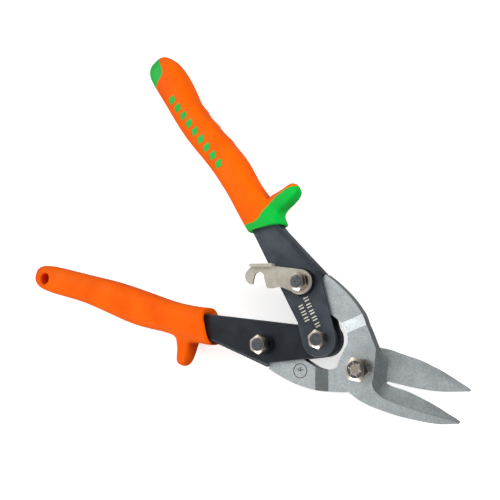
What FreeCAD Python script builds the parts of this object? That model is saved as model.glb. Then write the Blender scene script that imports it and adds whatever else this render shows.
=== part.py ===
import FreeCAD, Part
import math
import os
from FreeCAD import Vector

# Aviation snips, 10 inch class, millimetres, spring-open.
# +X runs from the handle pivot to the blade pivot, +Y towards the handle with the latch,
# +Z along every pivot. All four pivots are parallel.
# Everything is drawn about the plane that parts the two jaws, then lifted so that the
# origin is the centre of the pivot bolt's head face, on the blade pivot's axis.

# linkage
TAIL = 53.5                 # blade pivot to each tail pin
LINK = 30.4                 # handle pivot to each tail pin
TAIL_HALF_ANGLE = 21.05     # each tail's angle from the centreline, fully open
HANDLE_CLOSE = 34.5         # how far the handles turn about their pivot to close

# thicknesses
JAW = 7.2                   # each jaw's boss and tail
JAW_GAP = 0.15              # each jaw's face to the parting plane
SHEET = 1.8                 # handle channel
NEST = 0.3                  # gap between nested channel walls
INNER_WALL = 2.9            # parting plane to the nested wall's inner face

# fasteners
PIVOT_R = 3.175             # quarter inch pivot bolt
PIVOT_HEX = 11.1            # across flats
PIVOT_HEAD = 4.4
PIVOT_NUT = 5.0
PIVOT_WASHER = 0.8
PIVOT_WASHER_R = 5.4
PIN_R = 2.5                 # the three smaller bolts
PIN_HEX = 8.73
PIN_HEAD = 3.5
PIN_NUT = 4.0
FACE_SHARE = 0.8            # a hexagon's round face, as a share of its width across flats
CHAMFER_ANGLE = 30.0        # of a hexagon's corners
BOLT_STICKOUT = 0.7         # how far a small bolt's end stands out of its nut
PIVOT_STICKOUT = 0.2
RUNNING = 0.06              # radial clearance of a turning fit
OPEN_PIN_EXTRA = 0.5        # extra radius of the open pin's hole in the front jaw's tail

# latch
LATCH_SHEET = 1.6
BUSH_FLANGE = 2.7
BUSH_R = 3.6
BUSH_FLANGE_R = 7.0
LATCH_PLAY = 0.1            # latch to the bush's flange and to the washer
LATCH_WASHER = 0.6
LATCH_WASHER_R = 5.2
NECK_R = 2.6
NECK_HEIGHT = 6.7
STUD_WASHER = 0.8
STUD_WASHER_R = 5.0

# spring
WIRE = 1.4
SPRING_R = 5.3
SPRING_PITCH = 1.5
SPRING_COILS = 2            # whole turns, besides the part turn between the legs
SLEEVE_R = 4.2
BEND_BULGE = 0.06           # the wire's bend where a leg leaves the coil

# grips
GRIP_DEPTH = 10.4           # half thickness along the pivots
GRIP_POWER = 2.7            # squareness of the rounded section
HANG_HOLE_R = 3.6
INLAY_DEPTH = 1.2

OUTER_WALL = INNER_WALL + SHEET + NEST
STACK = OUTER_WALL + SHEET
LIFT = JAW + JAW_GAP + PIVOT_WASHER + PIVOT_HEAD
CHANNEL_MID = (OUTER_WALL - INNER_WALL) / 2
TAIL_SHIFT = JAW_GAP + JAW / 2 - CHANNEL_MID

tailAngle = math.radians(TAIL_HALF_ANGLE)
linkAngle = math.asin(TAIL * math.sin(tailAngle) / LINK)
PIN_X = -TAIL * math.cos(tailAngle)
PIN_Y = TAIL * math.sin(tailAngle)
HANDLE_PIVOT_X = PIN_X + LINK * math.cos(linkAngle)

BLADE_PIVOT = (0.0, 0.0)
HANDLE_PIVOT = (HANDLE_PIVOT_X, 0.0)
UPPER_PIN = (PIN_X, PIN_Y)
LOWER_PIN = (PIN_X, -PIN_Y)

XAXIS = Vector(1, 0, 0)
ZAXIS = Vector(0, 0, 1)
ORIGIN = Vector(0, 0, 0)


# ---------------------------------------------------------------- drawing helpers

def save(shape, name):
    """Lift a finished solid to the tool's frame and write it."""
    lifted = shape.copy()
    lifted.translate(Vector(0, 0, LIFT))
    lifted.exportStep("parts/" + name + ".step")


def flip(shape):
    """Turn a shape over about the centreline, as the lower handle is the upper one."""
    turned = shape.copy()
    turned.rotate(ORIGIN, XAXIS, 180)
    return turned


def onCircle(centre, radius, degrees):
    turn = math.radians(degrees)
    return centre[0] + radius * math.cos(turn), centre[1] + radius * math.sin(turn)


def flat(point):
    return Vector(point[0], point[1], 0)


def line(a, b):
    return Part.LineSegment(flat(a), flat(b)).toShape()


def arc(a, middle, b):
    return Part.Arc(flat(a), flat(middle), flat(b)).toShape()


def spline(points):
    curve = Part.BSplineCurve()
    curve.interpolate([flat(p) for p in points])
    return curve.toShape()


def prism(edges, low, high):
    """Extrude a closed outline drawn at z = 0 between two heights."""
    solid = Part.Face(Part.Wire(edges)).extrude(Vector(0, 0, high - low))
    solid.translate(Vector(0, 0, low))
    return solid


def polygon(points, low, high):
    closed = [Vector(x, y, low) for x, y in points + points[:1]]
    return Part.Face(Part.makePolygon(closed)).extrude(Vector(0, 0, high - low))


def rod(centre, radius, low, high):
    return Part.makeCylinder(radius, high - low, Vector(centre[0], centre[1], low), ZAXIS)


def tube(centre, outer, inner, low, high):
    return rod(centre, outer, low, high).cut(rod(centre, inner, low - 1, high + 1))


def cone(centre, lowRadius, highRadius, low, high):
    return Part.makeCone(lowRadius, highRadius, high - low, Vector(centre[0], centre[1], low), ZAXIS)


def beyond(point, normal):
    """Block that fills everything past a plane."""
    size = 120
    block = Part.makeBox(size, size, size)
    block.translate(Vector(-size / 2, -size / 2, 0))
    turn = FreeCAD.Rotation(ZAXIS, normal)
    block.Placement = FreeCAD.Placement(point, turn).multiply(block.Placement)
    return block


def hexagon(centre, flats, low, high, turn, bevelLow=True, bevelHigh=True):
    """Hex prism whose corners are turned off by a cone at the chosen ends."""
    corner = flats / math.sqrt(3)
    face = FACE_SHARE * flats / 2
    bevel = (corner - face) * math.tan(math.radians(CHAMFER_ANGLE))
    points = [onCircle(centre, corner, turn + 60 * k) for k in range(6)]
    envelope = rod(centre, corner, low + bevel, high - bevel)
    if bevelLow:
        foot = cone(centre, face, corner, low, low + bevel)
    else:
        foot = rod(centre, corner, low, low + bevel)
    if bevelHigh:
        top = cone(centre, corner, face, high - bevel, high)
    else:
        top = rod(centre, corner, high - bevel, high)
    return polygon(points, low, high).common(envelope.fuse([foot, top]))


def boltEnd(centre, radius, low, high):
    """Plain shank whose free end is slightly domed."""
    dome = 0.4
    return rod(centre, radius, low, high - dome).fuse(cone(centre, radius, radius - dome, high - dome, high))


# ---------------------------------------------------------------- jaws

# Front jaw's tail, drawn with its tail up: outer edge from heel to boss, inner edge from
# the boss back to the pin's eye.
TAIL_HEEL = (-43.0, 25.9)
TAIL_OUTER = [(-42.2, 29.1), (-35, 28.6), (-26.5, 27.2), (-18.5, 24.8), (-10, 20.8), (-3.8, 16.9),
              (1.6, 13.2)]
TAIL_INNER = [(-12.0, 4.0), (-12.6, 7.8), (-14.5, 10.4), (-17.2, 12.3), (-20.5, 13.3), (-28, 13.9)]
EYE_R = 7.6
BOSS_R = 12.3
BOSS_CENTRE = (0.8, 0.0)

# The joggle: the tail steps sideways so that it lies inside the handle channel.
JOGGLE_ANGLE = -34.0        # direction across the step, from the tail to the boss
JOGGLE_START = -25.2
JOGGLE_LENGTH = 6.2

# The throat side of each boss slopes down to the blades, and the far side steps down
# to the blade's back.
SLOPE_TOP = [Vector(1.2, 13.4, JAW + 0.5), Vector(8.9, -0.9, JAW + 0.5)]
SLOPE_FOOT = Vector(13.4, 0.6, 0)
NECK_POINT = Vector(8.6, -1.5, JAW + JAW_GAP)
NECK_NORMAL = Vector(0.2, -0.05, 0.98)
SCOOP_CENTRE = (14.2, 0.4)
SCOOP_R = 5.3


def joggledSlab():
    """Plate as thick as the jaw that steps down from the boss to the tail."""
    low = JAW_GAP
    high = JAW_GAP + JAW
    end = JOGGLE_START + JOGGLE_LENGTH
    profile = [(-70, low - TAIL_SHIFT), (JOGGLE_START, low - TAIL_SHIFT), (end, low), (90, low),
               (90, high), (end, high), (JOGGLE_START, high - TAIL_SHIFT), (-70, high - TAIL_SHIFT)]
    outline = Part.makePolygon([Vector(s, -80, z) for s, z in profile + profile[:1]])
    slab = Part.Face(outline).extrude(Vector(0, 160, 0))
    slab.rotate(ORIGIN, ZAXIS, JOGGLE_ANGLE)
    return slab


def tailAndBoss():
    """Front jaw without its blade, tail up."""
    eyeTop = onCircle(UPPER_PIN, EYE_R, 66)
    eyeLow = onCircle(UPPER_PIN, EYE_R, -80)
    bossTop = onCircle(BOSS_CENTRE, BOSS_R, 60)
    bossRight = onCircle(BOSS_CENTRE, BOSS_R, -40)
    bossLeft = onCircle(BOSS_CENTRE, BOSS_R, 176)
    edges = [
        line(eyeTop, TAIL_HEEL),
        line(TAIL_HEEL, TAIL_OUTER[0]),
        spline(TAIL_OUTER),
        line(TAIL_OUTER[-1], bossTop),
        arc(bossTop, onCircle(BOSS_CENTRE, BOSS_R, 10), bossRight),
        arc(bossRight, onCircle(BOSS_CENTRE, BOSS_R, -110), bossLeft),
        line(bossLeft, TAIL_INNER[0]),
        spline(TAIL_INNER),
        line(TAIL_INNER[-1], eyeLow),
        arc(eyeLow, onCircle(UPPER_PIN, EYE_R, 180), eyeTop),
    ]
    plate = prism(edges, -20, 20).common(joggledSlab())
    slope = (SLOPE_FOOT - SLOPE_TOP[0]).cross(SLOPE_TOP[1] - SLOPE_TOP[0])
    if slope.x < 0:
        slope = slope * -1
    plate = plate.cut(beyond(SLOPE_TOP[1], slope))
    plate = plate.cut(beyond(NECK_POINT, NECK_NORMAL))
    scoop = cone(SCOOP_CENTRE, 0.4, SCOOP_R * 1.6, 0.9, 0.9 + (JAW - 1.0) * 1.6)
    return plate.cut(scoop)


class Station:
    """One cross-section of a blade: x, then y of the cutting edge, of the ridge where the
    shear land ends, of the rim round the outside hollow and of the back, and the thickness."""

    def __init__(self, x, cut, land, rim, back, thick):
        self.x = x
        self.cut = cut
        self.land = land
        self.rim = rim
        self.back = back
        self.thick = thick


LOWER_BLADE = [
    Station(-2.0, 5.0, -2.0, -6.0, -12.0, 7.2),
    Station(4.0, 4.0, -2.6, -5.0, -12.7, 7.2),
    Station(9.0, 2.2, -3.2, -3.6, -12.7, 6.8),
    Station(15.0, 1.2, -3.5, -4.9, -11.8, 6.2),
    Station(22.0, 3.2, -1.9, -4.1, -9.9, 5.8),
    Station(29.0, 4.8, 0.3, -2.2, -7.6, 5.2),
    Station(36.0, 5.9, 2.2, 0.0, -4.7, 4.5),
    Station(43.0, 6.6, 4.1, 2.6, -1.5, 3.7),
    Station(49.0, 6.9, 5.4, 4.8, 2.1, 2.8),
    Station(53.8, 7.1, 6.6, 6.4, 5.7, 1.8),
]
UPPER_BLADE = [
    Station(-3.0, -5.0, 4.0, 5.0, 11.9, 7.2),
    Station(3.0, -2.0, 7.0, 6.0, 14.2, 7.2),
    Station(9.0, 0.2, 8.3, 7.0, 16.0, 6.8),
    Station(14.6, 2.4, 8.2, 8.6, 17.7, 6.2),
    Station(20.0, 4.6, 8.8, 11.0, 19.3, 5.8),
    Station(26.5, 7.3, 11.1, 13.7, 20.5, 5.2),
    Station(33.0, 10.4, 13.8, 16.2, 21.4, 4.5),
    Station(39.5, 14.2, 17.2, 18.8, 21.9, 3.7),
    Station(45.0, 18.1, 20.1, 20.9, 22.2, 2.8),
    Station(49.4, 21.3, 21.7, 21.8, 22.2, 1.8),
]
EDGE_HEIGHT = 0.5           # blunt height of the cutting edge
BEVEL_WIDTH = 1.3           # narrow bevel behind the cutting edge
BEVEL_HEIGHT = 1.2
RELIEF_DROP = 2.6           # how far the shear face falls away at the back


def sectionWire(s, side):
    """Closed section at one station; side is +1 for a blade above the parting plane."""
    inward = 1 if s.back > s.cut else -1
    floor = JAW_GAP
    drop = min(RELIEF_DROP, 0.33 * abs(s.back - s.land), 0.4 * s.thick)
    bevel = inward * min(BEVEL_WIDTH, 0.3 * abs(s.rim - s.cut))
    heel = (s.cut + bevel, floor + min(BEVEL_HEIGHT, 0.5 * s.thick))
    rim = (s.rim, floor + s.thick)
    hollow = (heel[0] + 0.62 * (rim[0] - heel[0]), (heel[1] + rim[1]) / 2 - 0.06 * s.thick)
    relief = ((s.land + s.back) / 2, floor + 0.3 * drop)
    corners = [(s.cut, floor), (s.land, floor), (s.back, floor + drop), (s.back, floor + s.thick), rim,
               heel, (s.cut, floor + min(EDGE_HEIGHT, 0.25 * s.thick))]
    points = [Vector(s.x, y, side * z) for y, z in corners]
    bulges = {1: Vector(s.x, relief[0], side * relief[1]), 4: Vector(s.x, hollow[0], side * hollow[1])}
    edges = []
    for k, start in enumerate(points):
        end = points[(k + 1) % len(points)]
        if k in bulges:
            edges.append(Part.Arc(start, bulges[k], end).toShape())
        else:
            edges.append(Part.LineSegment(start, end).toShape())
    return Part.Wire(edges)


def blade(stations, side):
    return Part.makeLoft([sectionWire(s, side) for s in stations], True, False)


def frontJaw():
    jaw = tailAndBoss().fuse(blade(LOWER_BLADE, 1))
    jaw = jaw.cut(rod(BLADE_PIVOT, PIVOT_R + RUNNING, -20, 20))
    return jaw.cut(rod(UPPER_PIN, PIN_R + OPEN_PIN_EXTRA, -20, 20)).removeSplitter()


RING_CENTRE = (-27.0, -19.8)
RING_R = 3.9
RING_WIDTH = 0.5
ENGRAVING = 0.3


def rearJaw():
    jaw = flip(tailAndBoss()).fuse(blade(UPPER_BLADE, -1))
    jaw = jaw.cut(rod(BLADE_PIVOT, PIVOT_R + RUNNING, -20, 20))
    jaw = jaw.cut(rod(LOWER_PIN, PIN_R + RUNNING, -20, 20))
    face = JAW / 2 - CHANNEL_MID
    ring = tube(RING_CENTRE, RING_R, RING_R - RING_WIDTH, face - ENGRAVING, face + 1)
    return jaw.cut(ring).removeSplitter()


# ---------------------------------------------------------------- handles

# Outer edge of the pressed channel from the end of its web to the end of the tang.
WEB = [(-43.5, 28.8), (-58, 31.8), (-75, 35.4), (-92, 40.2), (-108, 46.0), (-178, 67.7)]
TANG_INNER = [(-178, 60.7), (-108, 37.8), (-94, 28.6)]
WALL_INNER = [(-94, 28.6), (-66, 13.9), (-40.5, 0.6)]
PIVOT_EYE_R = 9.0
WEB_BEND = 2.2              # outside bend radius of the pressing
WEB_INSET = Vector(-0.26 * SHEET, -0.98 * SHEET, 0)  # one sheet thickness square to the web
WEB_RELIEF = 27.0           # the walls are clear of the web below this height at its end


def channelOutline():
    """Side wall of the upper handle, from the web's end round to the pivot eye."""
    eyeOut = onCircle(HANDLE_PIVOT, PIVOT_EYE_R, 50)
    eyeIn = onCircle(HANDLE_PIVOT, PIVOT_EYE_R, -132)
    shoulder = (-42.2, 25.6)
    points = [eyeOut, shoulder] + WEB + TANG_INNER[:-1] + WALL_INNER + [eyeIn]
    edges = [line(a, b) for a, b in zip(points, points[1:])]
    edges.append(arc(eyeIn, onCircle(HANDLE_PIVOT, PIVOT_EYE_R, -40), eyeOut))
    return edges


def webEdges(block):
    """The long edges where the web meets the side walls."""
    picked = []
    for edge in block.Edges:
        ends = [v.Point for v in edge.Vertexes]
        onWeb = [any(abs(p.x - x) < 0.01 and abs(p.y - y) < 0.01 for x, y in WEB) for p in ends]
        level = len(ends) == 2 and abs(ends[0].z - ends[1].z) < 0.01
        if level and all(onWeb):
            picked.append(edge)
    return picked


def upperChannel():
    """Handle pressing: two walls joined by a web along the outer edge."""
    block = prism(channelOutline(), -INNER_WALL - SHEET, STACK)
    block = block.makeFillet(WEB_BEND, webEdges(block))
    inset = [(x + WEB_INSET.x, y + WEB_INSET.y) for x, y in WEB]
    webEnd = WEB[0][0]
    past = (inset[-1][0] - 20, inset[-1][1] + 6.2)
    open = [(webEnd, inset[0][1]), (webEnd, 60), (20, 60), (20, -40), (past[0], -40), past]
    hollow = polygon(open + inset[:0:-1], -INNER_WALL, OUTER_WALL)
    relief = [(webEnd, WEB_RELIEF), (webEnd, 60), (20, 60), (20, WEB_RELIEF)]
    webCut = polygon(relief, -INNER_WALL, OUTER_WALL)
    channel = block.cut(hollow).cut(webCut)
    for pin in (HANDLE_PIVOT, UPPER_PIN):
        channel = channel.cut(rod(pin, PIN_R + RUNNING, -20, 20))
    return channel.removeSplitter()


def handleEnvelope():
    """Everything that a grip must leave room for."""
    return prism(channelOutline(), -INNER_WALL - SHEET, STACK)


# ---------------------------------------------------------------- grips

# Each grip's sections along its own axis, drawn as an upper grip: distance from the mouth,
# outer and inner edge, and half thickness.
GRIP_START = Vector(-84.0, 36.5, CHANNEL_MID)
GRIP_AXIS_ANGLE = 162.0
UPPER_SECTIONS = [
    (-14.0, 4.2, -15.6, 10.4),
    (-6.0, 4.4, -15.0, 10.4),
    (2.0, 4.8, -14.1, 10.4),
    (10.0, 5.1, -12.6, 10.4),
    (18.0, 5.1, -11.2, 10.4),
    (25.0, 5.1, -10.4, 10.4),
    (32.0, 6.2, -9.9, 10.4),
    (41.0, 7.2, -9.3, 10.4),
    (52.0, 6.5, -9.7, 10.3),
    (62.0, 5.8, -10.2, 10.2),
    (70.0, 5.2, -10.5, 10.0),
    (77.0, 4.9, -10.1, 9.9),
    (85.0, 5.7, -9.3, 9.7),
    (94.0, 7.6, -8.6, 9.5),
    (104.0, 8.8, -8.0, 9.2),
    (111.0, 8.9, -7.0, 8.4),
    (115.6, 7.0, -4.8, 6.2),
    (118.0, 4.0, -1.8, 3.6),
]
LOWER_SECTIONS = [
    (-14.0, 4.6, -16.2, 10.4),
    (-5.0, 4.7, -15.4, 10.4),
    (4.0, 5.0, -14.4, 10.4),
    (13.0, 5.3, -12.8, 10.4),
    (22.0, 4.6, -12.0, 10.4),
    (32.0, 5.3, -12.1, 10.4),
    (42.0, 6.0, -12.5, 10.3),
    (54.0, 5.2, -12.9, 10.2),
    (66.0, 3.9, -13.0, 10.0),
    (79.0, 2.9, -12.1, 9.6),
    (90.0, 3.1, -11.6, 9.0),
    (100.0, 3.6, -11.1, 8.0),
    (108.0, 3.5, -10.7, 6.9),
    (113.0, 2.7, -9.7, 6.0),
    (116.2, 0.8, -7.8, 4.8),
    (117.6, -1.6, -5.8, 3.2),
]
SECTION_POINTS = 16
UPPER_GUARD = [(-79.0, 36.4), (-81.6, 40.9), (-82.0, 44.8), (-80.4, 49.5), (-79.3, 53.6), (-79.9, 57.4),
               (-82.1, 59.4), (-84.3, 57.7), (-86.8, 53.2), (-90.4, 49.2), (-97.0, 46.4)]
LOWER_GUARD = [(-79.5, 36.4), (-84.6, 40.6), (-86.6, 43.6), (-86.6, 49.4), (-85.5, 54.4), (-85.7, 57.0),
               (-87.4, 58.4), (-89.2, 56.8), (-91.8, 51.8), (-95.6, 48.3), (-102.0, 45.6)]
GUARD_HALF_WIDTH = 7.4
GUARD_FOOT = -8.0
GUARD_SHOULDER = 14.0
GUARD_TOP = 23.6
MOUTH_POINT = Vector(-83.5, 32.0, 0)
MOUTH_NORMAL = Vector(0.72, -0.69, 0)
COLLAR = [(-96, 24.5), (-88.1, 31.9), (-88.4, 43.9), (-87.5, 48.9), (-85.6, 54.5), (-83.0, 58.2),
          (-80.5, 62), (-60, 60), (-60, 10), (-96, 10)]
TIP = [(-204, 82.4), (-184.5, 71.3), (-184.8, 50), (-204, 50)]
HANG_HOLE = (-188.0, 67.0)
INLAY_COUNT = 9
INLAY_FIRST = 40.0
INLAY_STEP = 6.1
INLAY_ROW = -3.0
INLAY_SIZE = (2.0, 2.9)


def gripAxes():
    turn = math.radians(GRIP_AXIS_ANGLE)
    along = Vector(math.cos(turn), math.sin(turn), 0)
    outward = Vector(math.sin(turn), -math.cos(turn), 0)
    return along, outward


def gripSection(distance, outer, inner, depth):
    """Closed rounded section square to the grip's axis."""
    along, outward = gripAxes()
    middle = (outer + inner) / 2
    half = (outer - inner) / 2
    points = []
    for k in range(SECTION_POINTS):
        turn = 2 * math.pi * k / SECTION_POINTS
        c = math.cos(turn)
        s = math.sin(turn)
        across = math.copysign(abs(c) ** (2 / GRIP_POWER), c)
        up = math.copysign(abs(s) ** (2 / GRIP_POWER), s)
        offset = outward * (middle + half * across) + ZAXIS * (depth * up)
        points.append(GRIP_START + along * distance + offset)
    curve = Part.BSplineCurve()
    curve.interpolate(Points=points, PeriodicFlag=True)
    return Part.Wire([curve.toShape()])


def guard(outline):
    """Finger guard: the plan outline rounded off as a tab when seen along the grip."""
    along, outward = gripAxes()
    plan = prism([spline(outline), line(outline[-1], outline[0])], -20, 20)
    low = GRIP_START - along * 60
    width = ZAXIS * GUARD_HALF_WIDTH
    foot = low + outward * GUARD_FOOT
    shoulder = low + outward * GUARD_SHOULDER
    edges = [
        Part.LineSegment(foot - width, shoulder - width).toShape(),
        Part.Arc(shoulder - width, low + outward * GUARD_TOP, shoulder + width).toShape(),
        Part.LineSegment(shoulder + width, foot + width).toShape(),
        Part.LineSegment(foot + width, foot - width).toShape(),
    ]
    tab = Part.Face(Part.Wire(edges)).extrude(along * 120)
    return plan.common(tab)


def gripBlank(sections, guardOutline):
    """Grip with its guard and cavity, in one colour, drawn as an upper grip."""
    body = Part.makeLoft([gripSection(*section) for section in sections], True, False)
    blank = body.fuse(guard(guardOutline))
    blank = blank.cut(beyond(MOUTH_POINT, MOUTH_NORMAL))
    return blank.cut(handleEnvelope())


def inlayColumns():
    """Row of plain lozenges on the front of the upper grip."""
    along, outward = gripAxes()
    columns = []
    for k in range(INLAY_COUNT):
        centre = GRIP_START + along * (INLAY_FIRST + INLAY_STEP * k) + outward * INLAY_ROW
        half = along * INLAY_SIZE[0]
        side = outward * INLAY_SIZE[1]
        tips = [half, side, -half, -side]
        points = [((centre + tip).x, (centre + tip).y) for tip in tips]
        columns.append(polygon(points, CHANNEL_MID + GRIP_DEPTH - INLAY_DEPTH, 20))
    return Part.makeCompound(columns)


# ---------------------------------------------------------------- latch

# Flat outline of the latch where it lies with the snips open. Its slot is as far from the
# latch bolt as the stud is with the handles closed.
LATCH_EYE_R = 6.4
LATCH_REST_ANGLE = 207.3
LATCH_TOP = [(-66.4, 18.2), (-76.9, 11.4)]
LATCH_FINGER = [(-76.9, 11.4), (-77.8, 8.6), (-77.6, 5.8), (-76.0, 3.9), (-73.6, 3.1), (-71.9, 3.6),
                (-71.4, 4.9)]
LATCH_PRONG = [(-66.0, 7.6), (-64.3, 6.8), (-62.7, 7.1), (-59.0, 10.2), (-56.5, 11.6)]
SLOT_CLEARANCE = 0.35
TAB_OUT = 1.3               # thumb tab: how far its face stands out, and its height
TAB_HEIGHT = 4.7
TAB_FOOT = 0.8              # how far its foot runs back into the plate
TAB_CORNER = 1.0
TAB_LENGTH = 12.6


def latchLevels():
    low = STACK + BUSH_FLANGE + LATCH_PLAY
    return low, low + LATCH_SHEET


def slotTool(low, high):
    """U-shaped slot, open the way the latch swings when it locks."""
    closedHalf = linkAngle - math.radians(HANDLE_CLOSE) / 2
    centre = onCircle(UPPER_PIN, 2 * LINK * math.sin(closedHalf), LATCH_REST_ANGLE)
    radius = NECK_R + SLOT_CLEARANCE
    left = onCircle(centre, radius, LATCH_REST_ANGLE)
    right = onCircle(centre, radius, LATCH_REST_ANGLE - 180)
    mouthLeft = (left[0] + 3.4, left[1] - 9)
    mouthRight = (right[0] + 9, right[1] - 7.5)
    return rod(centre, radius, low, high).fuse(polygon([left, mouthLeft, mouthRight, right], low, high))


def latch():
    low, high = latchLevels()
    eyeTop = onCircle(UPPER_PIN, LATCH_EYE_R, 112)
    eyeLow = onCircle(UPPER_PIN, LATCH_EYE_R, -100)
    edges = [
        arc(eyeLow, onCircle(UPPER_PIN, LATCH_EYE_R, 0), eyeTop),
        line(eyeTop, LATCH_TOP[0]),
        line(LATCH_TOP[0], LATCH_TOP[1]),
        spline(LATCH_FINGER),
        line(LATCH_FINGER[-1], LATCH_PRONG[0]),
        spline(LATCH_PRONG),
        line(LATCH_PRONG[-1], eyeLow),
    ]
    plate = prism(edges, low, high).cut(slotTool(low - 1, high + 1))
    along = flat(LATCH_TOP[1]) - flat(LATCH_TOP[0])
    along.normalize()
    outward = Vector(along.y, -along.x, 0)
    inside = TAB_OUT - LATCH_SHEET
    section = [(-TAB_FOOT, 0), (TAB_OUT - TAB_CORNER, 0), (TAB_OUT, TAB_CORNER), (TAB_OUT, TAB_HEIGHT),
               (inside, TAB_HEIGHT), (inside, LATCH_SHEET), (-TAB_FOOT, LATCH_SHEET)]
    corners = [flat(LATCH_TOP[0]) + outward * out + ZAXIS * (low + up) for out, up in section]
    tab = Part.Face(Part.makePolygon(corners + corners[:1])).extrude(along * TAB_LENGTH)
    return plate.fuse(tab).cut(rod(UPPER_PIN, BUSH_R + RUNNING, 0, 30)).removeSplitter()


# ---------------------------------------------------------------- fasteners

def pivotBolt():
    top = JAW + JAW_GAP + PIVOT_WASHER + PIVOT_NUT + PIVOT_STICKOUT
    head = hexagon(BLADE_PIVOT, PIVOT_HEX, -LIFT, -LIFT + PIVOT_HEAD, 12, True, False)
    return head.fuse(boltEnd(BLADE_PIVOT, PIVOT_R, -LIFT + PIVOT_HEAD - 1, top))


def pivotNut():
    low = JAW + JAW_GAP + PIVOT_WASHER
    nut = hexagon(BLADE_PIVOT, PIVOT_HEX, low, low + PIVOT_NUT, 24)
    return nut.cut(rod(BLADE_PIVOT, PIVOT_R, low - 1, low + PIVOT_NUT + 1))


def pivotWashers():
    low = JAW + JAW_GAP
    front = tube(BLADE_PIVOT, PIVOT_WASHER_R, PIVOT_R, low, low + PIVOT_WASHER)
    return Part.makeCompound([front, flip(front)])


def smallBolt(centre, headLow, end, turn):
    """Bolt whose head is above and whose end is below."""
    head = hexagon(centre, PIN_HEX, headLow, headLow + PIN_HEAD, turn, False, True)
    return head.fuse(rod(centre, PIN_R, end, headLow + 1))


def smallNut(centre, low, turn):
    nut = hexagon(centre, PIN_HEX, low, low + PIN_NUT, turn)
    return nut.cut(rod(centre, PIN_R, low - 1, low + PIN_NUT + 1))


def latchStud():
    """Bolt with a raised neck under its head, which the latch hooks over."""
    base = OUTER_WALL - NEST + STUD_WASHER
    top = OUTER_WALL - NEST + NECK_HEIGHT
    bolt = smallBolt(LOWER_PIN, top, -STACK - PIN_NUT - BOLT_STICKOUT, 8)
    return bolt.fuse(rod(LOWER_PIN, NECK_R, base, top))


def latchStudWasher():
    low = OUTER_WALL - NEST
    return tube(LOWER_PIN, STUD_WASHER_R, PIN_R, low, low + STUD_WASHER)


def latchTop():
    """Upper face of the washer over the latch."""
    return latchLevels()[1] + LATCH_PLAY + LATCH_WASHER


def latchBolt():
    return smallBolt(UPPER_PIN, latchTop(), -INNER_WALL - SHEET - PIN_NUT - BOLT_STICKOUT, 15)


def latchWasher():
    return tube(UPPER_PIN, LATCH_WASHER_R, PIN_R, latchTop() - LATCH_WASHER, latchTop())


def latchBush():
    flange = rod(UPPER_PIN, BUSH_FLANGE_R, STACK, STACK + BUSH_FLANGE)
    sleeve = rod(UPPER_PIN, BUSH_R, STACK, latchLevels()[1] + LATCH_PLAY)
    return flange.fuse(sleeve).cut(rod(UPPER_PIN, PIN_R, 0, 30)).removeSplitter()


# ---------------------------------------------------------------- spring

def handleSleeve():
    return tube(HANDLE_PIVOT, SLEEVE_R, PIN_R + RUNNING, -INNER_WALL, INNER_WALL)


LEG_TIP = (-42.0, 11.55)    # where the upper leg bears on the front jaw's tail


def returnSpring():
    """Torsion spring: a short helix with two straight legs that push the tails apart."""
    toTip = flat(LEG_TIP) - flat(HANDLE_PIVOT)
    legTurn = math.atan2(toTip.y, toTip.x) - math.acos(SPRING_R / toTip.Length)
    turns = SPRING_COILS + 2 * legTurn / (2 * math.pi)
    height = SPRING_PITCH * turns
    coil = Part.makeHelix(SPRING_PITCH, height, SPRING_R)
    coil.rotate(ORIGIN, ZAXIS, -math.degrees(legTurn))
    coil.translate(Vector(HANDLE_PIVOT_X, 0, -height / 2))
    start = coil.Edges[0]
    first = start.FirstParameter
    profile = Part.makeCircle(WIRE / 2, start.valueAt(first), start.tangentAt(first))
    spring = Part.Wire(coil.Edges).makePipeShell([Part.Wire([profile])], True, True)
    root = flat(onCircle(HANDLE_PIVOT, SPRING_R, math.degrees(legTurn))) + ZAXIS * (height / 2)
    tip = flat(LEG_TIP) + ZAXIS * (height / 2)
    leg = Part.makeCylinder(WIRE / 2, (tip - root).Length, root, tip - root)
    leg = leg.fuse([Part.makeSphere(WIRE / 2 + BEND_BULGE, root), Part.makeSphere(WIRE / 2, tip)])
    return spring.fuse([leg, flip(leg)])


# ---------------------------------------------------------------- write every node

def main():
    os.makedirs("parts", exist_ok=True)
    upperGrip = gripBlank(UPPER_SECTIONS, UPPER_GUARD)
    lowerGrip = gripBlank(LOWER_SECTIONS, LOWER_GUARD)
    collar = polygon(COLLAR, -30, 30)
    tip = polygon(TIP, -30, 30)
    inlays = inlayColumns()
    nodes = {
        "front_jaw": frontJaw(),
        "rear_jaw": rearJaw(),
        "pivot_bolt": pivotBolt(),
        "pivot_nut": pivotNut(),
        "pivot_washers": pivotWashers(),
        "upper_handle": upperChannel(),
        "lower_handle": flip(upperChannel()),
        "handle_pivot_bolt": smallBolt(HANDLE_PIVOT, STACK, -STACK - PIN_NUT - BOLT_STICKOUT, 15),
        "handle_pivot_nut": smallNut(HANDLE_PIVOT, -STACK - PIN_NUT, 5),
        "handle_pivot_sleeve": handleSleeve(),
        "return_spring": returnSpring(),
        "latch": latch(),
        "latch_bolt": latchBolt(),
        "latch_nut": smallNut(UPPER_PIN, -INNER_WALL - SHEET - PIN_NUT, 20),
        "latch_bush": latchBush(),
        "latch_washer": latchWasher(),
        "latch_stud": latchStud(),
        "latch_stud_nut": smallNut(LOWER_PIN, -STACK - PIN_NUT, 25),
        "latch_stud_washer": latchStudWasher(),
        "upper_grip": upperGrip.cut(collar).cut(tip).cut(inlays),
        "upper_grip_collar": upperGrip.common(collar),
        "upper_grip_tip": upperGrip.common(tip),
        "upper_grip_inlays": upperGrip.common(inlays),
        "lower_grip": flip(lowerGrip.cut(rod(HANG_HOLE, HANG_HOLE_R, -30, 30))),
    }
    for name, shape in nodes.items():
        print(name, "solids", len(shape.Solids), "valid", shape.isValid(), "volume", round(shape.Volume, 1))
        save(shape, name)


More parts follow.
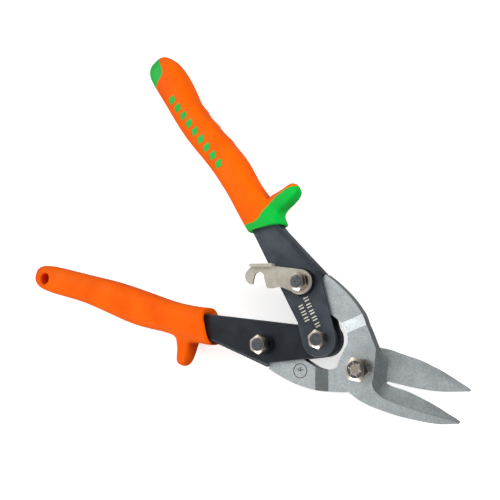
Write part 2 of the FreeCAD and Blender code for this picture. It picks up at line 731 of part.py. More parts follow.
main()
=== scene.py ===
import math
import bpy
from mathutils import Matrix, Vector


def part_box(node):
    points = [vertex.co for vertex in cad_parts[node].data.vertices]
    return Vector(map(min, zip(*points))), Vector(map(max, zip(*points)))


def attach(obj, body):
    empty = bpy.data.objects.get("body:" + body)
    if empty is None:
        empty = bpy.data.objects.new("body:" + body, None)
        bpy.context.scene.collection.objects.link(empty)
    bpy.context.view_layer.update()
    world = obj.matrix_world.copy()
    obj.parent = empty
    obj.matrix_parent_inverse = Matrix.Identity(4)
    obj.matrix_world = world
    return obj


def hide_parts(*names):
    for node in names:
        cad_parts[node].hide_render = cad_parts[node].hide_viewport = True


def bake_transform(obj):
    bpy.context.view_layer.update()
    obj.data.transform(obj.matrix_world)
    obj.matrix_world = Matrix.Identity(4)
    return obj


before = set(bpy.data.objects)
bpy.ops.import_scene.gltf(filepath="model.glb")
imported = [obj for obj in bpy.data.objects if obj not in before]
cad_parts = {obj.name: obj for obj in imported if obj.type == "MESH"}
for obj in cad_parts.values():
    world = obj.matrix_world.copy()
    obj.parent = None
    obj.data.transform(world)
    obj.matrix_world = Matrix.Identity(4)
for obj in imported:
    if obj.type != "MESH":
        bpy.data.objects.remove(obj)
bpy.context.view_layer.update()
scene = bpy.context.scene
mm = 0.001
weldGap = 0.002  # points closer than this, in mm, are one point
lift = 12.55  # the plane that parts the jaws stands this high above the pivot head's face, in mm


def linear(hexText):
    channels = [int(hexText[k:k + 2], 16) / 255 for k in (1, 3, 5)]
    return [c / 12.92 if c <= 0.04045 else ((c + 0.055) / 1.055) ** 2.4 for c in channels] + [1.0]


def addNode(tree, kind, links=None, **settings):
    node = tree.nodes.new(kind)
    for name, value in settings.items():
        if hasattr(node, name):
            setattr(node, name, value)
        else:
            node.inputs[name.replace("_", " ")].default_value = value
    for socket, source in (links or {}).items():
        tree.links.new(source, node.inputs[socket])
    return node


# materials: each look is one dictionary, spots and grains are sizes in mm; its edge colour is a painted
# highlight along the edges, and edgeWidth is that highlight's width

orangeGripLook = {"colour": "#FC6906", "deep": "#F25A02", "mottle": 16, "rough": 0.5, "grain": 0.7,
                  "bump": 0.06, "metal": 0.0, "gloss": 0.08}
greenGripLook = {"colour": "#0CBC42", "deep": "#03AC36", "mottle": 14, "rough": 0.42, "grain": 0.7,
                 "bump": 0.05, "metal": 0.0, "gloss": 0.3}
blackSteelLook = {"colour": "#2B3138", "deep": "#1A1F25", "mottle": 9, "rough": 0.36, "grain": 0.35,
                  "bump": 0.03, "metal": 0.35, "gloss": 0.5, "edge": "#6E747A", "edgeWidth": 0.35}
litBlackSteelLook = {"colour": "#525961", "deep": "#343A41", "mottle": 11, "rough": 0.33, "grain": 0.35,
                 "bump": 0.03, "metal": 0.45, "gloss": 0.5, "edge": "#8A9096", "edgeWidth": 0.35}
forgedLook = {"colour": "#E2EAEC", "deep": "#D0D8DB", "mottle": 5, "rough": 0.44, "grain": 0.45,
              "bump": 0.10, "metal": 0.92, "gloss": 0.5, "edge": "#F2F6F8", "edgeWidth": 0.5, "pits": 0.9}
latchLook = {"colour": "#CFCABC", "deep": "#BBB5A6", "mottle": 4, "rough": 0.34, "grain": 0.4, "bump": 0.03,
             "metal": 0.6, "gloss": 0.5, "edge": "#F6EEDC", "edgeWidth": 0.35}
nickelLook = {"colour": "#E6DACA", "deep": "#D0C4B4", "mottle": 4, "rough": 0.27, "grain": 0.5,
              "bump": 0.01, "metal": 1.0, "gloss": 0.5}
shadedFaceLook = {"colour": "#7C7E84", "deep": "#5E6168", "mottle": 2, "rough": 0.34, "grain": 0.6,
               "bump": 0.05, "metal": 0.9, "gloss": 0.5}
springLook = {"colour": "#4A4C4E", "deep": "#2E3032", "mottle": 4, "rough": 0.3, "grain": 0.4, "bump": 0.02,
              "metal": 1.0, "gloss": 0.5}
oxideAndShadeLook = {"colour": "#14171A", "deep": "#0A0C0E", "mottle": 4, "rough": 0.34, "grain": 0.4, "bump": 0.02,
             "metal": 0.2, "gloss": 0.4}
etchLook = {"colour": "#D6D2C6", "deep": "#BDB9AE", "mottle": 3, "rough": 0.6, "grain": 0.4, "bump": 0.01,
            "metal": 0.0, "gloss": 0.3}


def makeMaterial(name, look):
    material = bpy.data.materials.new(name)
    material.use_nodes = True
    tree = material.node_tree
    shader = tree.nodes["Principled BSDF"]
    shader.inputs["Metallic"].default_value = look["metal"]
    shader.inputs["Specular IOR Level"].default_value = look["gloss"]
    place = addNode(tree, "ShaderNodeTexCoord").outputs["Object"]
    cloud = addNode(tree, "ShaderNodeTexNoise", {"Vector": place}, Scale=1000 / look["mottle"], Detail=4.0)
    shade = addNode(tree, "ShaderNodeMapRange", {"Value": cloud.outputs["Fac"]}, From_Min=0.32,
                    From_Max=0.68)
    blend = addNode(tree, "ShaderNodeMix", {"Factor": shade.outputs["Result"]}, data_type="RGBA")
    blend.inputs[6].default_value = linear(look["deep"])
    blend.inputs[7].default_value = linear(look["colour"])
    paint = blend.outputs[2]
    grain = addNode(tree, "ShaderNodeTexNoise", {"Vector": place}, Scale=1000 / look["grain"], Detail=3.0)
    if "pits" in look:
        # shot blasting leaves small dark dimples between brighter peaks
        pits = addNode(tree, "ShaderNodeTexNoise", {"Vector": place}, Scale=1000 / look["pits"], Detail=2.0)
        spots = addNode(tree, "ShaderNodeMapRange", {"Value": pits.outputs["Fac"]}, From_Min=0.35,
                        From_Max=0.65, To_Min=0.80, To_Max=1.0)
        speckle = addNode(tree, "ShaderNodeMix", data_type="RGBA", blend_type="MULTIPLY")
        tree.links.new(paint, speckle.inputs[6])
        tree.links.new(spots.outputs["Result"], speckle.inputs[7])
        speckle.inputs["Factor"].default_value = 1.0
        paint = speckle.outputs[2]
    if "edge" in look:
        # painted highlight: the edges turn a brighter colour where a rounded normal leaves the true one
        rounded = addNode(tree, "ShaderNodeBevel", samples=6, Radius=look["edgeWidth"] * mm)
        true = addNode(tree, "ShaderNodeNewGeometry").outputs["Normal"]
        along = addNode(tree, "ShaderNodeVectorMath", operation="DOT_PRODUCT")
        tree.links.new(rounded.outputs["Normal"], along.inputs[0])
        tree.links.new(true, along.inputs[1])
        edgeGlint = addNode(tree, "ShaderNodeMapRange", {"Value": along.outputs["Value"]}, From_Min=0.985,
                       From_Max=0.86)
        edged = addNode(tree, "ShaderNodeMix", {"Factor": edgeGlint.outputs["Result"]}, data_type="RGBA")
        tree.links.new(paint, edged.inputs[6])
        edged.inputs[7].default_value = linear(look["edge"])
        paint = edged.outputs[2]
    tree.links.new(paint, shader.inputs["Base Color"])
    rough = addNode(tree, "ShaderNodeMapRange", {"Value": cloud.outputs["Fac"]}, From_Min=0.25,
                    From_Max=0.75, To_Min=look["rough"] + 0.05, To_Max=look["rough"] - 0.05)
    tree.links.new(rough.outputs["Result"], shader.inputs["Roughness"])
    bump = addNode(tree, "ShaderNodeBump", {"Height": grain.outputs["Fac"]}, Strength=1.0,
                   Distance=look["bump"] * mm)
    tree.links.new(bump.outputs["Normal"], shader.inputs["Normal"])
    return material


mouldedOrange = makeMaterial("mouldedThermoplasticOrange", orangeGripLook)  # matte, finely spark eroded
mouldedGreen = makeMaterial("mouldedThermoplasticGreen", greenGripLook)
blackSteel = makeMaterial("blackenedPressedSteel", blackSteelLook)  # satin e-coat over pressed sheet
litBlackSteel = makeMaterial("blackenedSteelPaintedLight", litBlackSteelLook)  # the same coat painted lighter: painted light, as the upper handle sits nearer a lamp
forgedSteel = makeMaterial("blastedForgedSteel", forgedLook)  # forged, shot blasted, then clear zinc
nickelPlate = makeMaterial("nickelPlatedSheet", latchLook)  # stamped sheet, tumbled and dull nickel plated
nickelBolt = makeMaterial("nickelPlatedColdHeaded", nickelLook)  # bright plating over cold headed steel
shadedHeadFace = makeMaterial("nickelPlatedFacePaintedShade", shadedFaceLook)  # a head's face painted a darker grey: painted shade for the dim reflection of its flat top
springSteel = makeMaterial("oiledSpringSteel", springLook)
# black oxide; on the latch's bush and the stud's washer it is also painted shade
blackOxideAndShade = makeMaterial("blackOxideSteelAndShade", oxideAndShadeLook)
laserEtch = makeMaterial("laserEtchedSteel", etchLook)  # pale annealed marks on the black coat
print("materials made")


# modelling helpers: new pieces are modelled in mm, and settle() brings them to metres in their place

def deselectAll():
    if bpy.context.object and bpy.context.object.mode != "OBJECT":
        bpy.ops.object.mode_set(mode="OBJECT")
    bpy.ops.object.select_all(action="DESELECT")


def activate(piece):
    deselectAll()
    piece.select_set(True)
    bpy.context.view_layer.objects.active = piece


def smoothBy(piece, degrees):
    activate(piece)
    bpy.ops.object.shade_smooth_by_angle(angle=math.radians(degrees))


def dress(piece, name, material, body, nodes=()):
    piece.name = name
    piece.data.name = name
    piece.data.materials.clear()
    piece.data.materials.append(material)
    if body:
        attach(piece, body)
    if nodes:
        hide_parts(*nodes)


def applyModifiers(piece):
    activate(piece)
    for modifier in list(piece.modifiers):
        bpy.ops.object.modifier_apply(modifier=modifier.name)


def settle(piece, place):
    # moves a finished piece to its place on the tool and leaves that in its mesh
    activate(piece)
    bpy.ops.object.transform_apply(location=True, rotation=True, scale=True)
    piece.matrix_world = place
    bpy.ops.object.transform_apply(location=True, rotation=True, scale=True)


def pickFaces(piece, wanted):
    # selects the faces that wanted() says, by their place and normal, and stays in edit mode
    activate(piece)
    bpy.ops.object.mode_set(mode="EDIT")
    bpy.ops.mesh.select_mode(type="FACE")
    bpy.ops.mesh.select_all(action="DESELECT")
    bpy.ops.object.mode_set(mode="OBJECT")
    for face in piece.data.polygons:
        face.select = wanted(face.center, face.normal)
    bpy.ops.object.mode_set(mode="EDIT")


def cutWith(piece, tool, operation):
    cut = piece.modifiers.new("cut", "BOOLEAN")
    cut.operation = operation
    cut.solver = "MANIFOLD"  # gives the same cut every time, where the exact one sometimes fails
    cut.object = tool
    applyModifiers(piece)


def copyOf(piece, name):
    twin = bpy.data.objects.new(name, piece.data.copy())
    scene.collection.objects.link(twin)
    return twin


def joinAll(pieces):
    deselectAll()
    for piece in pieces:
        piece.select_set(True)
    bpy.context.view_layer.objects.active = pieces[0]
    bpy.ops.object.join()
    return pieces[0]


def prismOf(points, low, high):
    # closed straight-sided block over a plan outline
    deselectAll()
    bpy.ops.mesh.primitive_circle_add(vertices=len(points), radius=1, fill_type="NGON", location=(0, 0, 0))
    block = bpy.context.object
    for vertex, point in zip(block.data.vertices, points):
        vertex.co = (point[0], point[1], low)
    bpy.ops.object.mode_set(mode="EDIT")
    bpy.ops.mesh.select_all(action="SELECT")
    bpy.ops.mesh.extrude_region_move(TRANSFORM_OT_translate={"value": (0, 0, high - low)})
    bpy.ops.mesh.select_all(action="SELECT")
    bpy.ops.mesh.normals_make_consistent(inside=False)
    bpy.ops.object.mode_set(mode="OBJECT")
    return block


def weldedCopy(node, name):
    # a CAD node's mesh is loose triangles, so its copy is merged first
    piece = copyOf(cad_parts[node], name)
    activate(piece)
    bpy.ops.object.mode_set(mode="EDIT")
    bpy.ops.mesh.select_all(action="SELECT")
    bpy.ops.mesh.remove_doubles(threshold=weldGap * mm)
    bpy.ops.object.mode_set(mode="OBJECT")
    return piece


def roundedCopy(node, name, edge):
    # a merged copy of a CAD node with its sharp edges rounded
    piece = weldedCopy(node, name)
    bpy.ops.object.mode_set(mode="EDIT")
    bpy.ops.mesh.select_all(action="SELECT")
    bpy.ops.mesh.dissolve_limited(angle_limit=math.radians(edge["flatAngle"]))
    bpy.ops.object.mode_set(mode="OBJECT")
    bevel = piece.modifiers.new("edge", "BEVEL")
    bevel.width = edge["width"] * mm
    bevel.segments = edge["segments"]
    bevel.limit_method = "ANGLE"
    bevel.angle_limit = math.radians(edge["sharpAngle"])
    bevel.use_clamp_overlap = False
    bevel.miter_outer = "MITER_ARC"
    applyModifiers(piece)
    activate(piece)
    bpy.ops.object.mode_set(mode="EDIT")
    bpy.ops.mesh.select_all(action="SELECT")
    bpy.ops.mesh.quads_convert_to_tris(quad_method="BEAUTY", ngon_method="BEAUTY")
    bpy.ops.object.mode_set(mode="OBJECT")
    smoothBy(piece, edge["smoothAngle"])
    return piece


# handles: the CAD's pressings with their edges' real rounding, sizes in mm and angles in degrees

pressedEdge = {"width": 0.25, "segments": 2, "sharpAngle": 16, "flatAngle": 0.6, "smoothAngle": 14}
upperHandle = roundedCopy("upper_handle", "upperHandlePressing", pressedEdge)
# the upper handle takes the lighter copy of the black coat, which is painted light
dress(upperHandle, "upperHandlePressing", litBlackSteel, "upper_arm", ["upper_handle"])
lowerHandle = roundedCopy("lower_handle", "lowerHandlePressing", pressedEdge)
dress(lowerHandle, "lowerHandlePressing", blackSteel, "lower_arm", ["lower_handle"])
print("handles rounded")


# grips, modelled along their own axis: x from the mouth, -y outwards, z across

gripPlace = {"start": (-84.0, 36.5, 1.05), "angle": 162.0}
# the mouth's rim, then outer edge, inner edge and half thickness of the opening and of its blind end
mouth = {"rimStep": 0.5, "rimScale": 0.93, "wallStep": 1.0, "depth": 9.0,
         "opening": (3.0, -12.4, 6.9), "end": (2.4, -10.6, 6.6)}
upperGrip = {
    "corner": 0.62, "guardFrom": 0.5, "guardTo": 8.0,
    # distance, outer edge, inner edge, half thickness, slant in degrees; from the far end to the mouth
    "rings": [(118.6, 3.4, -1.6, 3.0, 0), (117.4, 6.6, -4.4, 6.2, 0), (113.5, 9.2, -7.4, 8.9, 0),
              (107.0, 9.8, -8.3, 9.8, 0), (98.0, 8.9, -8.9, 10.2, 0), (90.5, 7.3, -9.4, 10.3, 0),
              (87.2, 6.6, -9.8, 10.3, 0), (85.4, 5.8, -9.9, 10.4, 0), (79.0, 5.7, -10.5, 10.4, 0),
              (76.8, 6.1, -10.6, 10.4, 0), (75.0, 5.2, -10.7, 10.5, 0), (68.0, 5.9, -11.0, 10.6, 0),
              (65.8, 6.5, -10.9, 10.6, 0), (64.0, 5.7, -10.8, 10.7, 0), (55.5, 6.8, -10.4, 10.8, 0),
              (53.0, 7.4, -10.2, 10.8, 0), (51.2, 6.7, -10.1, 10.8, 0), (42.0, 7.6, -9.8, 10.8, 0),
              (33.0, 6.8, -10.3, 10.8, 0), (25.0, 5.2, -10.9, 10.8, 2), (18.0, 5.0, -11.9, 10.8, 6),
              (11.0, 5.4, -13.0, 10.8, 12), (3.0, 5.4, -14.2, 10.8, 22), (-1.0, 4.9, -14.9, 10.6, 25)],
    # along, outwards, and the scales along and across of each step of the guard
    "guard": [(1.0, 3.0, 0.95, 0.94), (-0.7, 4.4, 0.88, 0.98), (-0.2, 4.6, 0.88, 0.98),
              (0.4, 3.2, 0.88, 0.86), (0.1, 1.6, 0.66, 0.66)],
}
lowerGrip = {
    "corner": 0.58, "guardFrom": 6.5, "guardTo": 14.0,
    "rings": [(118.0, -2.2, -5.4, 3.0, 0), (116.9, 0.4, -8.0, 5.2, 0), (113.6, 3.1, -10.4, 6.6, 0),
              (108.0, 4.0, -11.2, 7.5, 0), (100.0, 4.0, -11.6, 8.5, 0), (90.0, 3.4, -12.1, 9.4, 0),
              (79.0, 3.1, -12.6, 10.0, 0), (66.0, 4.1, -13.5, 10.4, 0), (54.0, 5.4, -13.4, 10.6, 0),
              (42.0, 6.3, -13.0, 10.8, 0), (32.0, 5.6, -12.5, 10.8, 0), (24.0, 4.8, -12.4, 10.8, 3),
              (16.5, 4.8, -12.9, 10.8, 8), (8.0, 5.2, -13.9, 10.8, 15), (1.5, 5.2, -15.2, 10.8, 23),
              (-1.5, 4.9, -16.0, 10.6, 25)],
    "guard": [(-0.3, 2.6, 0.84, 0.95), (-0.6, 4.0, 0.78, 0.96), (0.0, 4.4, 0.86, 0.95),
              (0.3, 2.6, 0.85, 0.82), (0.1, 1.3, 0.62, 0.60)],
}


def growGrip(name, grip):
    deselectAll()
    bpy.ops.mesh.primitive_plane_add(size=2, location=(0, 0, 0))
    piece = bpy.context.object
    piece.name = name
    bpy.ops.object.mode_set(mode="EDIT")
    bpy.ops.mesh.select_mode(type="FACE")
    bpy.ops.mesh.select_all(action="SELECT")
    bpy.ops.mesh.bevel(offset=grip["corner"], segments=3, affect="VERTICES")
    bpy.ops.mesh.select_all(action="SELECT")
    bpy.ops.transform.rotate(value=math.radians(90), orient_axis="Y", center_override=(0, 0, 0))
    distance, outer, inner, depth, slant = grip["rings"][0]
    half, middle = (outer - inner) / 2, -(outer + inner) / 2
    bpy.ops.transform.resize(value=(1, half, depth), center_override=(0, 0, 0))
    bpy.ops.transform.translate(value=(distance, middle, 0))
    for ring in grip["rings"][1:]:
        newHalf, newMiddle = (ring[1] - ring[2]) / 2, -(ring[1] + ring[2]) / 2
        bpy.ops.mesh.extrude_region_move(
            TRANSFORM_OT_translate={"value": (ring[0] - distance, newMiddle - middle, 0)})
        distance, middle = ring[0], newMiddle
        centre = (distance, middle, 0)
        bpy.ops.transform.resize(value=(1, newHalf / half, ring[3] / depth), center_override=centre)
        if ring[4] != slant:
            turn = math.radians(ring[4] - slant)
            bpy.ops.transform.rotate(value=turn, orient_axis="Z", center_override=centre)
        half, depth, slant = newHalf, ring[3], ring[4]
    # the mouth's rim, then the opening round the steel and its blind end
    bpy.ops.mesh.extrude_region_move(TRANSFORM_OT_translate={"value": (-mouth["rimStep"], 0, 0)})
    distance -= mouth["rimStep"]
    scale = mouth["rimScale"]
    bpy.ops.transform.resize(value=(1, scale, scale), center_override=(distance, middle, 0))
    half, depth = half * scale, depth * scale
    inside = ((0, mouth["opening"]), (mouth["wallStep"], mouth["opening"]), (mouth["depth"], mouth["end"]))
    for forward, (outer, inner, across) in inside:
        newHalf, newMiddle = (outer - inner) / 2, -(outer + inner) / 2
        bpy.ops.mesh.extrude_region_move(TRANSFORM_OT_translate={"value": (forward, newMiddle - middle, 0)})
        distance, middle = distance + forward, newMiddle
        centre = (distance, middle, 0)
        bpy.ops.transform.resize(value=(1, newHalf / half, across / depth), center_override=centre)
        half, depth = newHalf, across
    # the finger guard, drawn out of the outer side
    pickFaces(piece, lambda c, n: grip["guardFrom"] < c.x < grip["guardTo"] and n.y < -0.8)
    chosen = [face.center.x for face in piece.data.polygons if face.select]
    x, y = sum(chosen) / len(chosen), -grip["rings"][-3][1]
    for along, outward, alongScale, acrossScale in grip["guard"]:
        bpy.ops.mesh.extrude_region_move(TRANSFORM_OT_translate={"value": (along, -outward, 0)})
        x, y = x + along, y - outward
        bpy.ops.transform.resize(value=(alongScale, 1, acrossScale), center_override=(x, y, 0))
    bpy.ops.mesh.select_all(action="SELECT")
    bpy.ops.mesh.normals_make_consistent(inside=False)
    bpy.ops.object.mode_set(mode="OBJECT")
    return piece


def smoothGrip(piece):
    smooth = piece.modifiers.new("smooth", "SUBSURF")
    smooth.levels = 3
    smooth.render_levels = 3
    applyModifiers(piece)


def gripMatrix(turnedOver):
    turn = Matrix.Rotation(math.radians(gripPlace["angle"]), 4, "Z")
    place = Matrix.Translation(gripPlace["start"]) @ turn
    if turnedOver:
        place = Matrix.Rotation(math.pi, 4, "X") @ place
    return Matrix.Scale(mm, 4) @ Matrix.Translation((0, 0, lift)) @ place


upper = growGrip("upperGripOrange", upperGrip)
smoothGrip(upper)

# nine raised lozenges along the grip's face
inlay = {"from": 41.5, "pitch": 6.0, "count": 9, "across": 3.0, "halfLength": 2.2, "halfWidth": 3.0,
         "turn": 60, "proud": 0.25, "edge": 0.12, "low": 8.0, "high": 14.0}
lozenges = []
for k in range(inlay["count"]):
    deselectAll()
    centre = (inlay["from"] + k * inlay["pitch"], inlay["across"], inlay["low"])
    bpy.ops.mesh.primitive_circle_add(vertices=4, radius=1, fill_type="NGON", location=centre)
    bpy.ops.object.mode_set(mode="EDIT")
    bpy.ops.mesh.select_all(action="SELECT")
    bpy.ops.transform.resize(value=(inlay["halfWidth"], inlay["halfLength"], 1), center_override=centre)
    bpy.ops.transform.rotate(value=math.radians(inlay["turn"]), orient_axis="Z", center_override=centre)
    bpy.ops.mesh.extrude_region_move(TRANSFORM_OT_translate={"value": (0, 0, inlay["high"] - inlay["low"])})
    bpy.ops.mesh.select_all(action="SELECT")
    bpy.ops.mesh.normals_make_consistent(inside=False)
    bpy.ops.object.mode_set(mode="OBJECT")
    lozenges.append(bpy.context.object)
marks = joinAll(lozenges)
shell = copyOf(upper, "gripShell")
grow = shell.modifiers.new("grow", "DISPLACE")
grow.mid_level = 0
grow.strength = inlay["proud"]
applyModifiers(shell)
cutWith(marks, shell, "INTERSECT")
soften = marks.modifiers.new("soften", "BEVEL")
soften.width = inlay["edge"]
soften.segments = 2
soften.angle_limit = math.radians(50)
applyModifiers(marks)
bpy.data.objects.remove(shell)
settle(marks, gripMatrix(False))
smoothBy(marks, 40)
dress(marks, "upperGripLozenges", mouldedGreen, "upper_arm", ["upper_grip_inlays"])
settle(upper, gripMatrix(False))
lower = growGrip("lowerGripOrange", lowerGrip)
smoothGrip(lower)
settle(lower, gripMatrix(True))
print("grips grown")

# two colours: the upper grip's collar and end are moulded in green
collarEdge = [(-96, 24.5), (-92, 28.4), (-89, 31.4), (-88, 34), (-88.1, 39), (-88.3, 44), (-87.6, 48.9),
              (-85.6, 54), (-83.2, 57.8), (-80.5, 61.5), (-76, 64), (-60, 64), (-60, 10), (-96, 10)]
tipEdge = [(-204, 82.4), (-186.5, 72.6), (-184.9, 71.2), (-184.4, 69.4), (-184.9, 50), (-204, 50)]
rowScale = Matrix.Scale(mm, 4) @ Matrix.Translation((0, 0, lift))
cutReach = 30  # the cutting tools stand this far out on both sides, in mm
collarTool = prismOf(collarEdge, -cutReach, cutReach)
settle(collarTool, rowScale)
tipTool = prismOf(tipEdge, -cutReach, cutReach)
settle(tipTool, rowScale)
collar = copyOf(upper, "upperGripCollarGreen")
tip = copyOf(upper, "upperGripEndGreen")
cutWith(collar, collarTool, "INTERSECT")
cutWith(tip, tipTool, "INTERSECT")
cutWith(upper, collarTool, "DIFFERENCE")
cutWith(upper, tipTool, "DIFFERENCE")
hangHole = {"place": (-188.0, -67.0), "radius": 3.6}
deselectAll()
bpy.ops.mesh.primitive_cylinder_add(vertices=48, radius=hangHole["radius"], depth=2 * cutReach,
                                    location=(hangHole["place"][0], hangHole["place"][1], 0))
holeTool = bpy.context.object
settle(holeTool, rowScale)
cutWith(lower, holeTool, "DIFFERENCE")
for tool in (collarTool, tipTool, holeTool):
    bpy.data.objects.remove(tool)
for piece in (upper, collar, tip, lower):
    smoothBy(piece, 40)
dress(upper, "upperGripOrange", mouldedOrange, "upper_arm", ["upper_grip"])
dress(collar, "upperGripCollarGreen", mouldedGreen, "upper_arm", ["upper_grip_collar"])
dress(tip, "upperGripEndGreen", mouldedGreen, "upper_arm", ["upper_grip_tip"])
dress(lower, "lowerGripOrange", mouldedOrange, "lower_arm", ["lower_grip"])
print("grips coloured")

# the torsion spring between the two handles, a merged copy of the CAD's spring on neither handle
spring = weldedCopy("return_spring", "torsionSpringWire")
smoothBy(spring, 40)
dress(spring, "torsionSpringWire", springSteel, None, ["return_spring"])
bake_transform(spring)

# marks on the upper handle's face: two rows of paired ticks, with no lettering
ticks = {"rows": [((-44.9, 14.1), (-29.3, 4.9), 5), ((-44.8, 9.2), (-36.0, 4.0), 3)], "length": 2.7,
         "width": 0.62, "gap": 1.5, "thick": 0.08, "sunk": 0.02}


def addBar(x, y, z, length, width, thick, angle):
    # a flat bar with its corners rounded off in plan
    deselectAll()
    bpy.ops.mesh.primitive_plane_add(size=1, location=(x, y, z))
    bpy.ops.object.mode_set(mode="EDIT")
    bpy.ops.mesh.select_all(action="SELECT")
    bpy.ops.transform.resize(value=(width, length, 1), center_override=(x, y, z))
    bpy.ops.mesh.bevel(offset=width * 0.3, segments=3, affect="VERTICES")
    bpy.ops.mesh.select_all(action="SELECT")
    bpy.ops.transform.rotate(value=-math.radians(angle), orient_axis="Z", center_override=(x, y, z))
    bpy.ops.mesh.extrude_region_move(TRANSFORM_OT_translate={"value": (0, 0, thick)})
    bpy.ops.mesh.select_all(action="SELECT")
    bpy.ops.mesh.normals_make_consistent(inside=False)
    bpy.ops.object.mode_set(mode="OBJECT")
    return bpy.context.object


millimetres = Matrix.Scale(mm, 4)
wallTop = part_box("upper_handle")[1][2] / mm
bars = []
for (startX, startY), (endX, endY), count in ticks["rows"]:
    angle = math.degrees(math.atan2(endY - startY, endX - startX))
    for k in range(2 * count):
        share = (k // 2 + 0.5) / count
        shift = (k % 2 - 0.5) * ticks["gap"]
        x = startX + share * (endX - startX) + shift * math.cos(math.radians(angle))
        y = startY + share * (endY - startY) + shift * math.sin(math.radians(angle))
        foot = wallTop - ticks["sunk"]
        bars.append(addBar(x, y, foot, ticks["length"], ticks["width"], ticks["thick"], angle))
etched = joinAll(bars)
settle(etched, millimetres)
dress(etched, "upperHandleIndexTicks", laserEtch, "upper_arm")

# dark ring and a small notch mark in the rear jaw's tail, without lettering
ring = {"place": (-27.0, -19.8), "radius": 3.65, "wire": 0.2, "face": 15.1, "sunk": 0.12}
stroke = {"turns": (-30, 30, 90), "reach": 0.95, "length": 1.9, "width": 0.38, "thick": 0.07, "sunk": 0.03}
deselectAll()
bpy.ops.mesh.primitive_torus_add(major_radius=ring["radius"], minor_radius=ring["wire"], major_segments=64,
                                 minor_segments=8, location=(*ring["place"], ring["face"] - ring["sunk"]))
parts = [bpy.context.object]
for turn in stroke["turns"]:
    x = ring["place"][0] + stroke["reach"] * math.cos(math.radians(turn + 90))
    y = ring["place"][1] + stroke["reach"] * math.sin(math.radians(turn + 90))
    foot = ring["face"] - stroke["sunk"]
    parts.append(addBar(x, y, foot, stroke["length"], stroke["width"], stroke["thick"], turn))
ringMark = joinAll(parts)
settle(ringMark, millimetres)
smoothBy(ringMark, 40)
dress(ringMark, "rearTailRingMark", blackOxideAndShade, "rear_blade")

# faces of the fasteners, slightly dished by the header's die, in a darker grey that is painted shade

def topOf(node):
    low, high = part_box(node)
    return (low[0] + high[0]) / 2 / mm, (low[1] + high[1]) / 2 / mm, high[2] / mm


disc = {"sunk": 0.02, "thick": 0.06, "edge": 0.12, "rise": 0.03}


def addFace(name, node, body, radius, dimple):
    x, y, top = topOf(node)
    deselectAll()
    bpy.ops.mesh.primitive_circle_add(vertices=48, radius=radius, fill_type="NGON",
                                      location=(x, y, top - disc["sunk"]))
    face = bpy.context.object
    bpy.ops.object.mode_set(mode="EDIT")
    bpy.ops.mesh.select_all(action="SELECT")
    bpy.ops.mesh.extrude_region_move(TRANSFORM_OT_translate={"value": (0, 0, disc["thick"])})
    bpy.ops.mesh.inset(thickness=disc["edge"], depth=disc["rise"])
    bpy.ops.mesh.inset(thickness=radius - disc["edge"] - dimple["outer"], depth=0.0)
    bpy.ops.mesh.inset(thickness=dimple["outer"] - dimple["inner"], depth=-dimple["deep"])
    bpy.ops.mesh.select_all(action="SELECT")
    bpy.ops.mesh.normals_make_consistent(inside=False)
    bpy.ops.object.mode_set(mode="OBJECT")
    settle(face, millimetres)
    # the face's darker grey is painted shade
    dress(face, name, shadedHeadFace, body)
    return face


headRadius = 3.3
plainFace = {"outer": 2.4, "inner": 0.6, "deep": 0.02}
dimpledFace = {"outer": 1.3, "inner": 0.35, "deep": 0.07}
heads = [("latchBoltFace", "latch_bolt", "upper_arm", dimpledFace),
         ("handlePivotBoltFace", "handle_pivot_bolt", "lower_arm", plainFace),
         ("latchStudFace", "latch_stud", "lower_arm", plainFace)]
for name, node, body, dimple in heads:
    smoothBy(addFace(name, node, body, headRadius, dimple), 25)

# the pivot bolt's end is staked into its nut by six radial punch strokes
addFace("pivotStakedEnd", "pivot_nut", "rear_blade", 4.3, {"outer": 1.5, "inner": 0.8, "deep": 0.1})
stakes = {"count": 6, "from": 1.7, "to": 3.7, "width": 0.75, "proud": 0.28, "turn": 20.0, "edge": 0.14}
centreX, centreY, top = topOf("pivot_nut")
strokes = []
for k in range(stakes["count"]):
    angle = stakes["turn"] + 360.0 * k / stakes["count"]
    reach = (stakes["from"] + stakes["to"]) / 2
    x = centreX + reach * math.cos(math.radians(angle))
    y = centreY + reach * math.sin(math.radians(angle))
    length = stakes["to"] - stakes["from"]
    strokes.append(addBar(x, y, top, length, stakes["width"], stakes["proud"], angle + 90))
star = joinAll(strokes)
soften = star.modifiers.new("soften", "BEVEL")
soften.width = stakes["edge"]
soften.segments = 2
applyModifiers(star)
settle(star, millimetres)
smoothBy(star, 50)
dress(star, "pivotStakeStrokes", nickelBolt, "rear_blade")
print("fasteners and marks made")

# everything that stays as the CAD drew it

# the latch's bush and the stud's washer are black oxide, and their black also stands in as painted shade
# for the dark shadow under the latch and beside the stud's head
looks = {"front_jaw": forgedSteel, "rear_jaw": forgedSteel, "latch": nickelPlate, "latch_bush": blackOxideAndShade,
         "latch_stud_washer": blackOxideAndShade}
for name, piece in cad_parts.items():
    piece.data.materials.clear()
    piece.data.materials.append(looks.get(name, nickelBolt))

# camera, lights and floor

view = {"place": (0.1309, 0.0986, 0.4938), "right": (0.7451, 0.5128, -0.4265),
        "up": (-0.5271, 0.8445, 0.0945), "back": (0.4086, 0.1543, 0.8996), "lens": 72.0}
cameraData = bpy.data.cameras.new("camera")
cameraData.lens = view["lens"]
cameraData.clip_start = 0.01
camera = bpy.data.objects.new("camera", cameraData)
scene.collection.objects.link(camera)
scene.camera = camera
turn = Matrix((view["right"], view["up"], view["back"])).transposed().to_4x4()
camera.matrix_world = Matrix.Translation(view["place"]) @ turn

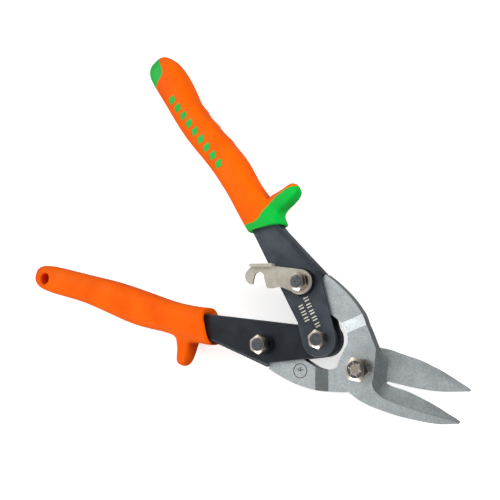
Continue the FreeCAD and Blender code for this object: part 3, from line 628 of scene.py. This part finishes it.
studio = {"aim": (-0.06, 0.0, 0.01), "ceilingNear": 0.34, "ceilingFar": 0.02, "horizon": 0.5,
          "under": 0.4, "dark": 0.15, "bright": 1.2, "litSide": (-0.745, -0.513, 0.0), "floorGlow": 0.5}
softboxes = [
    # front and right lights for the grips, kept out of the metal's reflections
    {"name": "front", "place": (0.05, 0.40, 0.45), "size": 0.4, "watts": 0.9, "glossy": False},
    {"name": "right", "place": (0.35, 0.45, 0.22), "size": 0.4, "watts": 4.2, "glossy": False},
    {"name": "left", "place": (-0.60, 0.05, 0.50), "size": 0.45, "watts": 1.6, "glossy": True},
    {"name": "near", "place": (0.05, -0.65, 0.35), "size": 0.5, "watts": 3.2, "glossy": True},
]
for box in softboxes:
    deselectAll()
    bpy.ops.object.light_add(type="AREA", location=box["place"])
    lamp = bpy.context.object
    lamp.name = box["name"]
    lamp.data.energy = box["watts"]
    lamp.data.size = box["size"]
    lamp.visible_glossy = box["glossy"]
    aim = Vector(studio["aim"]) - Vector(box["place"])
    lamp.rotation_euler = aim.to_track_quat("-Z", "Y").to_euler()
world = bpy.data.worlds.new("studio")
scene.world = world
world.use_nodes = True
sky = world.node_tree.nodes["Background"]
sky.inputs["Color"].default_value = (1, 1, 1, 1)
heading = addNode(world.node_tree, "ShaderNodeTexCoord").outputs["Generated"]
axes = addNode(world.node_tree, "ShaderNodeSeparateXYZ", {"Vector": heading})
ceiling = addNode(world.node_tree, "ShaderNodeMapRange", {"Value": axes.outputs["Y"]}, From_Min=-0.15,
                  From_Max=0.30, To_Min=studio["ceilingNear"], To_Max=studio["ceilingFar"])
fadeLinks = {"Value": axes.outputs["Z"], "To Max": ceiling.outputs["Result"]}
fade = addNode(world.node_tree, "ShaderNodeMapRange", fadeLinks, From_Min=0.45, From_Max=0.85,
               To_Min=studio["horizon"])
# the room is dark at the right of the tool only
lean = addNode(world.node_tree, "ShaderNodeVectorMath", {"Vector": heading}, operation="DOT_PRODUCT")
lean.inputs[1].default_value = studio["litSide"]
side = addNode(world.node_tree, "ShaderNodeMapRange", {"Value": lean.outputs["Value"]}, From_Min=-0.5,
               From_Max=0.1, To_Min=studio["dark"], To_Max=studio["bright"])
# it is darker below the horizon too, because the floor stops no reflected or scattered light
under = addNode(world.node_tree, "ShaderNodeMapRange", {"Value": axes.outputs["Z"]}, From_Min=-0.25,
                From_Max=0.02, To_Min=studio["under"], To_Max=1.0)
shaded = addNode(world.node_tree, "ShaderNodeMath", operation="MULTIPLY")
world.node_tree.links.new(side.outputs["Result"], shaded.inputs[0])
world.node_tree.links.new(under.outputs["Result"], shaded.inputs[1])
glow = addNode(world.node_tree, "ShaderNodeMath", operation="MULTIPLY")
world.node_tree.links.new(fade.outputs["Result"], glow.inputs[0])
world.node_tree.links.new(shaded.outputs["Value"], glow.inputs[1])
world.node_tree.links.new(glow.outputs["Value"], sky.inputs["Strength"])

deselectAll()
bpy.ops.mesh.primitive_plane_add(size=6, location=(0, 0, 0))
floor = bpy.context.object
floor.name = "floor"
paper = bpy.data.materials.new("whitePaper")
paper.use_nodes = True
sheet = paper.node_tree.nodes["Principled BSDF"].inputs
sheet["Base Color"].default_value = linear("#FAFAFA")
sheet["Roughness"].default_value = 0.9
sheet["Emission Color"].default_value = (1, 1, 1, 1)
sheet["Emission Strength"].default_value = studio["floorGlow"]
floor.data.materials.append(paper)
# its bounce would wash out the sides and the metal's reflections
floor.visible_diffuse = False
floor.visible_glossy = False
scene.view_settings.view_transform = "Standard"
print("camera, lights and floor made")
